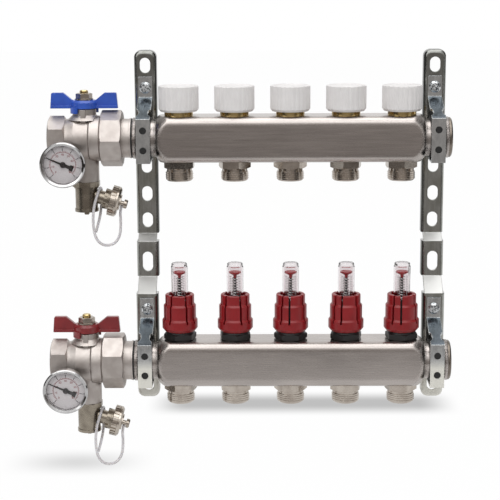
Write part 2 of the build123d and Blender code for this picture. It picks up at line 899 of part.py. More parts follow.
def drain_body():
    top = -leg_foot - fit_gap
    foot = -drain_foot
    spigot = rod(drain_diameter - 2, top - 1, -leg_foot + 5.5)
    collar = chamfered_prism(drain_hex, 8, top - drain_hex_height, top, 22.5)
    barrel = rod(drain_diameter, foot - drain_flange, top - drain_hex_height + 0.5)
    bead = rod(drain_diameter + 2.0, top - drain_hex_height - 1.6, top - drain_hex_height)
    flange = rod(drain_diameter + 1.2, foot - drain_flange, foot)
    neck = on_branch(rod(branch_diameter, 0, drain_cap_start))
    castle = ring(0, branch_ring / 2, drain_cap_start - 5.4, drain_cap_start - 1.4)
    castle_low = drain_cap_start - 5.4
    castle -= notches(castle_notches, branch_ring / 2, 2.6, 1.4, castle_low - 0.1, castle_low + 2.8)
    thread = rod(branch_thread, drain_cap_start - 2.0, drain_cap_start + branch_thread_length)
    body = spigot + collar + barrel + bead + flange + neck + on_branch(castle) + on_branch(thread)
    body -= rod(drain_plug + 2 * running_gap, -branch_height - drain_seat, -leg_foot + 7)
    body -= rod(spindle_diameter + 2 * running_gap, foot - drain_flange - 1, -branch_height)
    body -= on_branch(rod(branch_bore, 0, drain_cap_start + branch_thread_length + 1))
    return body


def drain_spindle():
    foot = -drain_foot - drain_flange
    head_low = -branch_height - drain_seat + seat_gap
    shank = turned(
        (0, foot + 0.2),
        (spindle_diameter / 2, foot + 0.2),
        (spindle_diameter / 2, head_low),
        (drain_plug / 2, head_low),
        (drain_plug / 2, head_low + 2.0),
        (0, head_low + 4.0),
    )
    square = Pos(0, 0, foot - spindle_reach) * extrude(
        Rectangle(spindle_square, spindle_square), amount=spindle_reach + 0.4
    )
    square = chamfer(square.faces().sort_by(Axis.Z)[0].edges(), 0.7)
    return shank + square


def drain_cap():
    """Ribbed cap of the side outlet, with a nub that holds its retaining strap."""
    start = drain_cap_start
    end = start + drain_cap_length
    crown = end + 1.2
    outer = drain_cap_diameter / 2
    bore = branch_thread / 2 + fit_gap
    roof = start + branch_thread_length + seat_gap
    cap = turned(
        (bore, start),
        (outer - drain_rib_depth - 0.6, start),
        (outer - drain_rib_depth, start + 0.6),
        (outer - drain_rib_depth, start + drain_rib_length + 0.4),
        (outer, start + drain_rib_length + 0.6),
        (outer, end - 1.6),
        (outer - 2.0, end),
        (cap_crown / 2, end),
        (cap_crown / 2, crown),
        (nub_stem / 2, crown),
        (nub_stem / 2, crown + nub_rise),
        (nub_diameter / 2, crown + nub_rise),
        (nub_diameter / 2, crown + nub_rise + 2.4),
        (nub_diameter / 2 - 0.8, crown + nub_rise + 3.2),
        (0, crown + nub_rise + 3.2),
        (0, roof),
        (bore, roof),
    )
    rib = Box(2 * drain_rib_depth, drain_rib_width, drain_rib_length)
    rib = Pos(outer - drain_rib_depth - 0.05, 0, start + 0.4 + drain_rib_length / 2) * rib
    ribs = [Rot(0, 0, i * 360 / drain_cap_ribs) * rib for i in range(drain_cap_ribs)]
    return on_branch(cap + ribs)


def cord_route():
    """Retaining strap of the drain cap, from the nub down, up again and over the neck."""
    return [
        (31.5, 0.0, -61.5),
        (29.9, -0.2, -66.9),
        (30.7, -0.9, -77.0),
        (29.6, -2.2, -90.0),
        (23.6, -4.6, -96.9),
        (14.4, -7.6, -96.9),
        (8.2, -9.6, -90.0),
        (6.2, -10.6, -77.0),
        (7.2, -10.8, -61.6),
        (12.2, -9.8, -45.3),
        (12.8, 9.8, -45.3),
        (12.0, 10.2, -63.2),
        (11.4, 0.6, -73.4),
        (8.4, -7.4, -84.5),
    ]


def cord():
    points = [Vector(*point) for point in cord_route()]
    radii = []
    for before, here, after in zip(points, points[1:], points[2:]):
        turn = (here - before).get_angle(after - here)
        shorter = min((here - before).length, (after - here).length)
        radii.append(0.45 * shorter / tan(radians(turn) / 2))
    path = FilletPolyline(*points, radius=radii)
    section = Plane(origin=path @ 0, z_dir=path % 0) * Circle(cord_diameter / 2)
    tube = sweep(section, path=path)
    print("strap length", round(path.length, 1), "radii", [round(r, 1) for r in radii])
    print("strap volume", round(tube.volume, 1), "of", round(path.length * section.area, 1))
    return tube


# Thermometers
def on_gauge(shape):
    """Place a shape, drawn about Z with the dial upwards, in front of the boss."""
    return Pos(gauge_x, -gauge_boss_front - fit_gap, gauge_z) * facing_room(shape)


def gauge_case():
    outer = gauge_diameter / 2
    dial = dial_diameter / 2
    case = turned(
        (0, -gauge_shank),
        (gauge_stem / 2, -gauge_shank),
        (gauge_stem / 2, 0),
        (gauge_stem / 2 + gauge_boss_rim, 0),
        (gauge_stem / 2 + gauge_boss_rim, gauge_boss_depth),
        (outer - bezel_step - 0.5, gauge_back - 0.6),
        (outer - bezel_step, gauge_back),
        (outer - bezel_step, gauge_case_depth),
        (outer, gauge_case_depth + 0.4),
        (outer, gauge_case_depth + bezel_length),
        (outer - 1.0, gauge_case_depth + bezel_length + 0.8),
        (dial - lens_cover, gauge_case_depth + bezel_length),
        (dial - lens_cover, gauge_case_depth + lens_seat),
        (dial + fit_gap, gauge_case_depth + lens_seat),
        (dial + fit_gap, gauge_case_depth - dial_seat),
        (0, gauge_case_depth - dial_seat),
    )
    return case


def gauge_dial():
    low = gauge_case_depth - dial_seat
    pivot = rod(1.4, low, low + 2.2)
    return rod(dial_diameter, low, low + dial_sheet) + pivot


def gauge_needle():
    low = gauge_case_depth - dial_seat + dial_sheet + seat_gap
    blade = Polyline((-0.9, 2.0), (-0.3, needle_length), (0.3, needle_length), (0.9, 2.0), close=True)
    pointer = Pos(0, 0, low) * extrude(make_face(blade), amount=0.5)
    tail = Pos(0, -5.0, low + 0.25) * Box(3.0, 8.0, 0.5)
    counterweight = Pos(0, -8.0, low + 0.25) * Box(5.0, 3.2, 0.5)
    boss = rod(5.2, low, low + 1.0)
    return pointer + tail + counterweight + boss - rod(1.4 + 2 * running_gap, 0, low + 4)


def gauge_lens():
    top = gauge_case_depth + lens_seat - fit_gap
    return rod(dial_diameter, top - lens_thickness, top)


def save(name, shape):
    export_step(shape, f"parts/{name}.step")


def save_group(name, shapes):
    save(name, Compound(children=[Part() + shape for shape in shapes]))


def make_carriers():
    save("left_bracket", Pos(-bracket_x, 0, 0) * bracket())
    save("right_bracket", Pos(bracket_x, 0, 0) * bracket())
    clamp_places = [
        Pos(side * bracket_x, 0, 0) * level for level in (return_at, supply_at) for side in (-1, 1)
    ]
    one_strap = strap()
    one_liner = liner()
    one_screw = clamp_screw()
    save_group("clamp_straps", [place * one_strap for place in clamp_places])
    save_group("clamp_liners", [place * one_liner for place in clamp_places])
    save_group("clamp_screws", [place * one_screw for place in clamp_places])
    one_bar = bar()
    save("return_bar", return_at * one_bar)
    save("supply_bar", supply_at * one_bar)
    plug = end_plug()
    save_group("end_plugs", [return_at * plug, supply_at * plug])


def make_return_circuits():
    outlets = []
    inserts = []
    cap = protective_cap()
    for index, x in enumerate(circuit_xs):
        place = return_at * Pos(x, 0, 0)
        outlets.append(place * outlet(True, 28.0 + 17.0 * index))
        inserts.append(place * valve_insert(11.0 * index))
        save(f"protective_cap_{index + 1}", place * Rot(0, 0, 7.0 * index) * cap)
    save_group("return_outlets", outlets)
    save_group("valve_inserts", inserts)


def make_supply_circuits():
    outlets = []
    bases = []
    tubes = []
    tube = meter_tube()
    indicator = flow_indicator()
    for index, x in enumerate(circuit_xs):
        place = supply_at * Pos(x, 0, 0)
        outlets.append(place * outlet(False, 12.0 + 23.0 * index))
        bases.append(place * meter_base(15.6 + 21.0 * index))
        tubes.append(place * tube)
        save(f"regulating_collar_{index + 1}", place * regulating_collar(collar_turns[index]))
        save(f"flow_indicator_{index + 1}", place * indicator)
    save_group("supply_outlets", outlets)
    save_group("meter_bases", bases)
    save_group("meter_tubes", tubes)


def make_valves():
    places = {"return": Pos(valve_x, 0, 0) * return_at, "supply": Pos(valve_x, 0, 0) * supply_at}
    strap_cord = cord()
    pieces = {
        "valve_body": valve_body(),
        "valve_end_piece": end_piece(),
        "valve_ball": ball(),
        "valve_stem": valve_stem(),
        "handle": handle(),
        "handle_nut": handle_nut(),
        "union_tail": union_tail(),
        "drain_body": drain_body(),
        "drain_spindle": drain_spindle(),
        "drain_cap": drain_cap(),
        "drain_cap_strap": strap_cord,
        "gauge_case": on_gauge(gauge_case()),
        "gauge_needle": on_gauge(Rot(0, 0, needle_turn) * gauge_needle()),
    }
    for side, place in places.items():
        for name, shape in pieces.items():
            save(f"{side}_{name}", place * shape)
    both = list(places.values())
    save_group("union_nuts", [both[0] * union_nut(0.0), both[1] * union_nut(22.5)])
    save_group("union_seals", [place * union_seal() for place in both])
    save_group("ball_seats", [place * ball_seat(side) for place in both for side in (-1, 1)])
    save_group("gauge_dials", [place * on_gauge(gauge_dial()) for place in both])
    save_group("gauge_lenses", [place * on_gauge(gauge_lens()) for place in both])


make_carriers()
make_return_circuits()
make_supply_circuits()
make_valves()
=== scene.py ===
import math

import bmesh
import bpy
from mathutils import Matrix, Vector


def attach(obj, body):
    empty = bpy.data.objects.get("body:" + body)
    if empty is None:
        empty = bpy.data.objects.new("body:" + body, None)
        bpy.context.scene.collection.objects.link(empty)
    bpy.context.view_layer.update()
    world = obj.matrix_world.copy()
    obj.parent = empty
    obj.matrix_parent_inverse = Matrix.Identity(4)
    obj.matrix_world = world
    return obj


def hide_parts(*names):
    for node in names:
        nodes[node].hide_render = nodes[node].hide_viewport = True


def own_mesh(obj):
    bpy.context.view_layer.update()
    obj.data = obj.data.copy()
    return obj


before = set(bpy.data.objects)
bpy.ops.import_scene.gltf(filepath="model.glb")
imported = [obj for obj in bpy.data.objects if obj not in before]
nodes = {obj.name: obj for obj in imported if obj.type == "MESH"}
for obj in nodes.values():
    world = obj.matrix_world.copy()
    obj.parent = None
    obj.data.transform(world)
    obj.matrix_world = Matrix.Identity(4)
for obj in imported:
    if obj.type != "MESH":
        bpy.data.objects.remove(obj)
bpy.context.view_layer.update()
scene = bpy.context.scene
print("frame loaded:", len(nodes), "nodes")

# Where the main axes run, in metres
layout = {
    "circuits": 5,
    "circuitPitch": 0.050,
    "returnY": -0.0311,
    "supplyY": -0.0551,
    "returnZ": 0.100,
    "supplyZ": -0.100,
    "valveX": -0.1845,
}
levels = {
    "return": (layout["returnY"], layout["returnZ"]),
    "supply": (layout["supplyY"], layout["supplyZ"]),
}
middleCircuit = (layout["circuits"] - 1) / 2
circuitXs = [layout["circuitPitch"] * (i - middleCircuit) for i in range(layout["circuits"])]


# Camera
cameraView = {
    "place": (-0.02243, -1.3430, 0.26105),
    "lens": 105.6,
    "sensor": 36,
    "clip": (0.05, 30),
    "yaw": -0.621,
    "pitch": 11.375,
    "roll": 0.279,
}


def makeCamera():
    data = bpy.data.cameras.new("photoCamera")
    data.lens = cameraView["lens"]
    data.sensor_width = cameraView["sensor"]
    data.clip_start, data.clip_end = cameraView["clip"]
    camera = bpy.data.objects.new("photoCamera", data)
    scene.collection.objects.link(camera)
    yaw, pitch, roll = (math.radians(cameraView[k]) for k in ("yaw", "pitch", "roll"))
    forward = Vector((math.sin(yaw) * math.cos(pitch), math.cos(yaw) * math.cos(pitch), -math.sin(pitch)))
    level = Vector((math.cos(yaw), -math.sin(yaw), 0))
    down = forward.cross(level)
    right = level * math.cos(roll) + down * math.sin(roll)
    up = level * math.sin(roll) - down * math.cos(roll)
    turn = Matrix((right, up, -forward)).transposed().to_4x4()
    camera.matrix_world = Matrix.Translation(cameraView["place"]) @ turn
    scene.camera = camera


makeCamera()
print("camera placed")


# Node and colour helpers
def linear(hexColour):
    # sRGB hex to the linear colour that a shader socket takes
    parts = [int(hexColour[i:i + 2], 16) / 255 for i in (1, 3, 5)]
    return (*[c / 12.92 if c <= 0.04045 else ((c + 0.055) / 1.055) ** 2.4 for c in parts], 1.0)


def addNode(tree, kind, values=(), links=(), **settings):
    node = tree.nodes.new(kind)
    for name, value in settings.items():
        setattr(node, name, value)
    for socket, value in dict(values).items():
        node.inputs[socket].default_value = value
    for socket, source in dict(links).items():
        tree.links.new(source, node.inputs[socket])
    return node


def newMaterial(name, **values):
    material = bpy.data.materials.new(name)
    material.use_nodes = True
    tree = material.node_tree
    tree.nodes.clear()
    shader = addNode(tree, "ShaderNodeBsdfPrincipled", {k.replace("_", " "): v for k, v in values.items()})
    addNode(tree, "ShaderNodeOutputMaterial", links={"Surface": shader.outputs[0]})
    place = addNode(tree, "ShaderNodeTexCoord").outputs["Object"]
    return material, tree, shader, place


def noiseAt(tree, place, millimetres, detail=3.0, roughness=0.55):
    scale = [1000 / size for size in millimetres]
    mapped = addNode(tree, "ShaderNodeMapping", {"Scale": scale}, {"Vector": place})
    values = {"Scale": 1.0, "Detail": detail, "Roughness": roughness}
    return addNode(tree, "ShaderNodeTexNoise", values, {"Vector": mapped.outputs[0]}).outputs["Fac"]


def ramp(tree, factor, *stops):
    node = addNode(tree, "ShaderNodeValToRGB", links={"Fac": factor})
    while len(node.color_ramp.elements) < len(stops):
        node.color_ramp.elements.new(0.5)
    for element, (at, colour) in zip(node.color_ramp.elements, stops):
        element.position = at
        element.color = linear(colour) if isinstance(colour, str) else (colour, colour, colour, 1)
    return node.outputs["Color"]


def spread(tree, noise, pair, low=0.3, high=0.7):
    # the pair's first value in the noise's hollows, its second one on the crests
    return ramp(tree, noise, (low, pair[0]), (high, pair[1]))


def limits(low, high):
    return {"From Min": low, "From Max": high}


def bumpOf(tree, height, millimetres, strength=1.0):
    values = {"Distance": millimetres / 1000, "Strength": strength}
    return addNode(tree, "ShaderNodeBump", values, {"Height": height}).outputs["Normal"]


def softEdge(tree, millimetres, normal=None, samples=4):
    links = {"Normal": normal} if normal else {}
    values = {"Radius": millimetres / 1000}
    return addNode(tree, "ShaderNodeBevel", values, links, samples=samples).outputs["Normal"]


def link(tree, shader, **outputs):
    for socket, output in outputs.items():
        tree.links.new(output, shader.inputs[socket.replace("_", " ")])


# Materials. Pattern sizes (along X, Y, Z), relief and soft edges are in millimetres; heights are in metres.
stainless = {
    "grain": (30, 0.45, 0.45),      # drawn about three times as coarse as the grit
    "clouds": (60, 40, 20),
    "tints": ("#AFA8A4", "#C4BCB7"),
    "cloudTints": ("#F0F0F0", "#FFFFFF"),
    "rough": (0.22, 0.30),
    "relief": 0.02,
    "edge": 4.5,
}


def brushedStainless():
    # AISI 304 tube ground with 240 grit along its length: fine streaks along X, soft smeared reflections
    material, tree, shader, place = newMaterial("brushedStainless", Metallic=1.0)
    grain = noiseAt(tree, place, stainless["grain"], 4)
    clouds = noiseAt(tree, place, stainless["clouds"], 2)
    tint = spread(tree, grain, stainless["tints"])
    cloudy = spread(tree, clouds, stainless["cloudTints"], 0.35, 0.65)
    colour = addNode(
        tree, "ShaderNodeMix", {"Factor": 1.0}, {6: tint, 7: cloudy}, data_type="RGBA", blend_type="MULTIPLY",
    )
    link(tree, shader, Base_Color=colour.outputs[2], Roughness=spread(tree, grain, stainless["rough"]))
    streaks = bumpOf(tree, grain, stainless["relief"], 0.5)
    link(tree, shader, Normal=softEdge(tree, stainless["edge"], streaks, samples=8))
    return material


zinc = {
    "streaks": (0.8, 8, 30),
    "blotches": (7, 7, 14),
    "tints": ("#A6A7A3", "#B6B7B3"),
    "blotchTints": ("#E9E9E5", "#FFFFFF"),
    "joggleHighlightTint": "#CBCBC9",
    "joggleTop": (0.06, 0.05),
    "joggleSlant": (0.2, 0.5),      # size of the normal's Z from which a face counts as slanted
    "flangeShadeTint": "#45443F",
    "flangeFacing": (0.45, 0.8),    # how squarely a face looks at the other bracket
    "topShadeTint": "#D2D2D2",
    "topHeights": (0.11, 0.16),
    "rough": (0.25, 0.42),          # on the flats, and on the joggles
    "relief": 0.002,
    "edge": 0.9,
    "footTint": "#E6E4DB",
    "footHeights": (-0.094, -0.103),
    "footMetallic": 0.1,
    "strapBlotches": (4, 4, 8),
    "strapTints": ("#C3C6C7", "#D8DADA"),
    "tongueReflectionTints": ("#868E97", "#8C949C"),
    "tongueFacing": (0.74, 0.84),   # the normal's Z, below and above which a face is bend or tongue
    "strapRough": (0.18, 0.26),
    "strapRelief": 0.003,
    "strapEdge": 0.5,
    "strapBend": 1.6,
    "screwMarks": (1.6, 1.6, 1.6),
    "screwTints": ("#575D61", "#E6E9EB"),
    "screwRough": (0.3, 0.42),
    "screwRelief": 0.06,
    "screwEdge": 0.35,
}


def paleFoot(tree, shader, place, colour):
    # below the lower bar's axis the zinc is painted a pale cream and made less metallic
    height = addNode(tree, "ShaderNodeSeparateXYZ", links={"Vector": place}).outputs["Z"]
    share = addNode(tree, "ShaderNodeMapRange", limits(*zinc["footHeights"]), {"Value": height}).outputs[0]
    shown = addNode(
        tree, "ShaderNodeMix", {7: linear(zinc["footTint"])}, {0: share, 6: colour}, data_type="RGBA",
    )
    metallic = {"To Min": 1.0, "To Max": zinc["footMetallic"]}
    mirror = addNode(tree, "ShaderNodeMapRange", metallic, {"Value": share})
    link(tree, shader, Base_Color=shown.outputs[2], Metallic=mirror.outputs[0])


def zincPlatedSheet():
    # cold rolled strip with a passivated zinc coat: drawn streaks, faint blotches, a painted highlight on the
    # joggles, painted shade on the facing flanges and the top ends
    material, tree, shader, place = newMaterial("zincPlatedSheet")
    multiply = {"data_type": "RGBA", "blend_type": "MULTIPLY"}
    streaks = noiseAt(tree, place, zinc["streaks"], 4)
    blotches = noiseAt(tree, place, zinc["blotches"], 2)
    tint = spread(tree, streaks, zinc["tints"])
    worn = spread(tree, blotches, zinc["blotchTints"], 0.35, 0.6)
    colour = addNode(tree, "ShaderNodeMix", {"Factor": 1.0}, {6: tint, 7: worn}, **multiply)
    facing = addNode(tree, "ShaderNodeNewGeometry").outputs["Normal"]
    axes = addNode(tree, "ShaderNodeSeparateXYZ", links={"Vector": facing})
    spot = addNode(tree, "ShaderNodeSeparateXYZ", links={"Vector": place})
    # the joggles: slanted faces below the upper bar's clamp, painted lighter as a highlight where they tilt
    # up towards the light
    slanted = addNode(tree, "ShaderNodeMath", links={0: axes.outputs["Z"]}, operation="ABSOLUTE")
    bent = addNode(tree, "ShaderNodeMapRange", limits(*zinc["joggleSlant"]), {"Value": slanted.outputs[0]})
    below = addNode(tree, "ShaderNodeMapRange", limits(*zinc["joggleTop"]), {"Value": spot.outputs["Z"]})
    joggleMask = addNode(
        tree, "ShaderNodeMath", links={0: bent.outputs[0], 1: below.outputs[0]}, operation="MULTIPLY",
    )
    joggleHighlighted = addNode(
        tree, "ShaderNodeMix", {7: linear(zinc["joggleHighlightTint"])},
        {0: joggleMask.outputs[0], 6: colour.outputs[2]}, data_type="RGBA",
    )
    # painted shade: the flanges that face each other are painted dark, and the top ends painted darker
    side = addNode(tree, "ShaderNodeMath", links={0: spot.outputs["X"]}, operation="SIGN")
    outward = addNode(
        tree, "ShaderNodeMath", links={0: axes.outputs["X"], 1: side.outputs[0]}, operation="MULTIPLY",
    )
    inward = addNode(tree, "ShaderNodeMapRange", limits(0.0, -1.0), {"Value": outward.outputs[0]})
    shaded = spread(tree, inward.outputs[0], ("#FFFFFF", zinc["flangeShadeTint"]), *zinc["flangeFacing"])
    upper = addNode(tree, "ShaderNodeMapRange", limits(*zinc["topHeights"]), {"Value": spot.outputs["Z"]})
    topShade = spread(tree, upper.outputs[0], ("#FFFFFF", zinc["topShadeTint"]), 0.0, 1.0)
    paintedShade = addNode(tree, "ShaderNodeMix", {"Factor": 1.0}, {6: topShade, 7: shaded}, **multiply)
    sheet = addNode(
        tree, "ShaderNodeMix", {"Factor": 1.0}, {6: joggleHighlighted.outputs[2], 7: paintedShade.outputs[2]}, **multiply,
    )
    paleFoot(tree, shader, place, sheet.outputs[2])
    flat, rubbed = zinc["rough"]
    rough = addNode(
        tree, "ShaderNodeMapRange", {"To Min": flat, "To Max": rubbed}, {"Value": joggleMask.outputs[0]},
    )
    dents = bumpOf(tree, blotches, zinc["relief"], 0.4)
    link(tree, shader, Roughness=rough.outputs[0], Normal=softEdge(tree, zinc["edge"], dents, samples=8))
    return material


def zincPlatedStrap():
    # pressed clamp strip: a painted highlight on its bends and a painted dark bluish reflection on the
    # tongue, chosen by which way each face points
    material, tree, shader, place = newMaterial("zincPlatedStrap")
    blotches = noiseAt(tree, place, zinc["strapBlotches"], 2)
    # the slant of each face picks the painted highlight on the bends or the painted reflection on the tongue
    facing = softEdge(tree, zinc["strapBend"], samples=8)
    upward = addNode(tree, "ShaderNodeSeparateXYZ", links={"Vector": facing}).outputs["Z"]
    dark, light = zinc["tongueReflectionTints"]
    bend, tongue = zinc["tongueFacing"]
    bendHighlightAndReflection = ramp(tree, upward, (bend, "#FFFFFF"), (tongue, dark), (1.0, light))
    tint = spread(tree, blotches, zinc["strapTints"])
    colour = addNode(
        tree, "ShaderNodeMix", {"Factor": 1.0}, {6: tint, 7: bendHighlightAndReflection},
        data_type="RGBA", blend_type="MULTIPLY",
    )
    paleFoot(tree, shader, place, colour.outputs[2])
    dents = bumpOf(tree, blotches, zinc["strapRelief"], 0.4)
    link(tree, shader, Roughness=spread(tree, blotches, zinc["strapRough"]))
    link(tree, shader, Normal=softEdge(tree, zinc["strapEdge"], dents))
    return material


def zincPlatedScrew():
    # pressed pan head: bright crown, patchy where the driver has marked it
    material, tree, shader, place = newMaterial("zincPlatedScrew", Metallic=1.0)
    marks = noiseAt(tree, place, zinc["screwMarks"], 3)
    link(tree, shader, Base_Color=spread(tree, marks, zinc["screwTints"], 0.42, 0.5))
    link(tree, shader, Roughness=spread(tree, marks, zinc["screwRough"]))
    dents = bumpOf(tree, marks, zinc["screwRelief"], 0.6)
    link(tree, shader, Normal=softEdge(tree, zinc["screwEdge"], dents))
    return material


platingPatches = (9, 9, 9)
nickels = {
    # hot pressed brass, shot blasted and nickel plated: warm grey, satin, with a fine orange peel
    "blastedNickel": {
        "grain": 0.6, "relief": 0.04, "edge": 0.5, "rough": (0.42, 0.50), "tints": ("#B8B0AB", "#C6BFBA"),
    },
    # machined brass, nickel plated: smoother and a little darker than the blasted faces
    "turnedNickel": {
        "grain": 1.2, "relief": 0.01, "edge": 0.15, "rough": (0.18, 0.26), "tints": ("#AAA096", "#B9B0A6"),
    },
    # the same plating on a rougher pressing, painted darker and a little olive as shade
    "shadedDrainNickel": {
        "grain": 0.5, "relief": 0.04, "edge": 0.2, "rough": (0.22, 0.32), "tints": ("#8A8175", "#A39A8C"),
    },
    # die cast cap, plated and rumbled: the lands of its ribs are polished by handling
    "drainCapNickel": {
        "grain": 0.8, "relief": 0.02, "edge": 0.08, "rough": (0.14, 0.24), "tints": ("#A89E93", "#C4BBB0"),
    },
    # end plugs: dull, with the plating painted dark and brown as shade
    "shadedPlugNickel": {
        "grain": 0.8, "relief": 0.02, "edge": 0.1, "rough": (0.24, 0.34), "tints": ("#6E665E", "#8A8178"),
    },
    # turned nipples with a bright plating: their small faces flash light and dark
    "outletNickel": {
        "grain": 1.2, "relief": 0.01, "edge": 0.1, "rough": (0.16, 0.24), "tints": ("#B3A99F", "#C6BDB3"),
    },
}


def nickelOnBrass(name):
    finish = nickels[name]
    material, tree, shader, place = newMaterial(name, Metallic=1.0)
    grain = noiseAt(tree, place, (finish["grain"],) * 3, 3)
    patches = noiseAt(tree, place, platingPatches, 2)
    link(tree, shader, Base_Color=spread(tree, patches, finish["tints"], 0.35, 0.65))
    link(tree, shader, Roughness=spread(tree, grain, finish["rough"]))
    link(tree, shader, Normal=softEdge(tree, finish["edge"], bumpOf(tree, grain, finish["relief"], 0.6)))
    return material


brass = {"rings": (6, 6, 0.5), "tints": ("#B59A64", "#DCC68F"), "rough": (0.14, 0.24), "edge": 0.1}


def turnedBrass():
    # CW614N brass straight from the lathe: yellow, with fine rings that only widen the highlight
    material, tree, shader, place = newMaterial("turnedBrass", Metallic=1.0)
    rings = noiseAt(tree, place, brass["rings"], 3)
    link(tree, shader, Base_Color=spread(tree, rings, brass["tints"]))
    link(tree, shader, Roughness=spread(tree, rings, brass["rough"]))
    link(tree, shader, Normal=softEdge(tree, brass["edge"]))
    return material


chrome = {"haze": (8, 8, 8), "tints": ("#B4B3B3", "#C6C5C5"), "rough": (0.08, 0.16), "edge": 0.15}


def brightChrome():
    # bright nickel and chrome on pressed steel: a clean mirror with a trace of haze
    material, tree, shader, place = newMaterial("brightChrome", Metallic=1.0)
    haze = noiseAt(tree, place, chrome["haze"], 2)
    link(tree, shader, Base_Color=spread(tree, haze, chrome["tints"]))
    link(tree, shader, Roughness=spread(tree, haze, chrome["rough"]))
    link(tree, shader, Normal=softEdge(tree, chrome["edge"]))
    return material


mould = {"clouds": (12, 12, 12), "roughSpread": 0.1}
plastics = {
    "whiteAbs": {
        "tints": ("#E7E4E3", "#EDEAE9"), "rough": 0.34, "grain": 0.8, "relief": 0.004, "edge": 0.3,
    },
    "blackNylon": {
        "tints": ("#151414", "#1E1C1C"), "rough": 0.38, "grain": 0.7, "relief": 0.03, "edge": 0.4,
    },
    "redNylon": {
        "tints": ("#860D13", "#921219"), "rough": 0.3, "grain": 0.7, "relief": 0.02, "edge": 0.4,
    },
    "floatAndRod": {
        "tints": ("#A81D24", "#B4252B"), "rough": 0.3, "grain": 0.7, "relief": 0.01, "edge": 0.1,
    },
    "blackAbs": {
        "tints": ("#121212", "#181818"), "rough": 0.4, "grain": 0.6, "relief": 0.01, "edge": 0.1,
    },
    # skived fluoropolymer: waxy white
    "ptfe": {
        "tints": ("#E6E4DE", "#EFEDE8"), "rough": 0.45, "grain": 0.9, "relief": 0.02, "edge": 0.4,
    },
    # moulded rubber profile: almost black, dull
    "epdmRubber": {
        "tints": ("#101010", "#191919"), "rough": 0.62, "grain": 0.5, "relief": 0.05, "edge": 0.4,
    },
    # lacquered aluminium dial plate: white, nearly matt
    "dialEnamel": {
        "tints": ("#FBFAFB", "#FFFFFF"), "rough": 0.5, "grain": 0.5, "relief": 0.005, "edge": 0.05,
    },
}


def plastic(name):
    # injection moulded, with the fine spark eroded grain of its mould
    finish = plastics[name]
    material, tree, shader, place = newMaterial(name, IOR=1.53)
    grain = noiseAt(tree, place, (finish["grain"],) * 3, 2)
    clouds = noiseAt(tree, place, mould["clouds"], 2)
    link(tree, shader, Base_Color=spread(tree, clouds, finish["tints"]))
    rough = (finish["rough"], finish["rough"] + mould["roughSpread"])
    link(tree, shader, Roughness=spread(tree, grain, rough))
    link(tree, shader, Normal=softEdge(tree, finish["edge"], bumpOf(tree, grain, finish["relief"], 0.5)))
    return material


rod = {"top": -0.0233, "tint": "#2A2929"}      # the height of its upper end, in metres


def floatAndRod():
    # red moulded float on a dark steel rod: the colour changes where the rod ends, at one height for all
    material = plastic("floatAndRod")
    tree = material.node_tree
    shader = next(node for node in tree.nodes if node.type == "BSDF_PRINCIPLED")
    place = next(node for node in tree.nodes if node.type == "TEX_COORD").outputs["Object"]
    height = addNode(tree, "ShaderNodeSeparateXYZ", links={"Vector": place}).outputs["Z"]
    isFloat = addNode(tree, "ShaderNodeMath", {1: rod["top"]}, {0: height}, operation="GREATER_THAN")
    red = shader.inputs["Base Color"].links[0].from_socket
    colour = addNode(
        tree, "ShaderNodeMix", {6: linear(rod["tint"])}, {0: isFloat.outputs[0], 7: red}, data_type="RGBA",
    )
    link(tree, shader, Base_Color=colour.outputs[2])
    return material


stove = {
    "peel": (1.6, 1.6, 1.6),
    "clouds": (10, 10, 10),
    "relief": 0.03,
    "edge": 0.8,
    "rough": 0.38,
    "coat": 0.5,
    "coatRough": 0.12,
}
enamels = {
    "blueEnamel": ("#2850B4", "#2E5CC6"),
    "redEnamel": ("#7C1C21", "#8A2226"),
}


def enamel(name):
    # stove enamel on pressed steel: smooth gloss coat with a slight orange peel
    material, tree, shader, place = newMaterial(
        name, IOR=1.5, Coat_Weight=stove["coat"], Coat_Roughness=stove["coatRough"], Roughness=stove["rough"],
    )
    peel = noiseAt(tree, place, stove["peel"], 2)
    clouds = noiseAt(tree, place, stove["clouds"], 2)
    link(tree, shader, Base_Color=spread(tree, clouds, enamels[name]))
    link(tree, shader, Normal=softEdge(tree, stove["edge"], bumpOf(tree, peel, stove["relief"], 0.5)))
    return material


clearWall = {
    "tint": "#EDE8E9",
    "shadowTint": "#F0F0F0",
    "rough": 0.02,
    "ior": 1.4,             # below the real 1.58, so that the thin wall stays clear
    "waves": (9, 9, 14),
    "relief": 0.05,
}


def clearPolycarbonate():
    # moulded clear tube and lens: thin wall, slight mould waviness that bends the highlights
    material, tree, shader, place = newMaterial(
        "clearPolycarbonate", Base_Color=linear(clearWall["tint"]), Transmission_Weight=1.0,
        Roughness=clearWall["rough"], IOR=clearWall["ior"],
    )
    waves = noiseAt(tree, place, clearWall["waves"], 2)
    link(tree, shader, Normal=bumpOf(tree, waves, clearWall["relief"], 0.4))
    # light passes straight through, so that what lies behind the thin wall is lit
    rays = addNode(tree, "ShaderNodeLightPath")
    passing = addNode(
        tree, "ShaderNodeMath", links={0: rays.outputs["Is Shadow Ray"], 1: rays.outputs["Is Diffuse Ray"]},
        operation="MAXIMUM",
    )
    clear = addNode(tree, "ShaderNodeBsdfTransparent", {"Color": linear(clearWall["shadowTint"])})
    mixed = addNode(
        tree, "ShaderNodeMixShader", links={0: passing.outputs[0], 1: shader.outputs[0], 2: clear.outputs[0]},
    )
    output = next(node for node in tree.nodes if node.type == "OUTPUT_MATERIAL")
    tree.links.new(mixed.outputs[0], output.inputs["Surface"])
    return material


printed = {"blots": (0.8, 0.8, 0.8), "tints": ("#C0C0C0", "#FFFFFF"), "share": 0.2, "rough": 0.55}


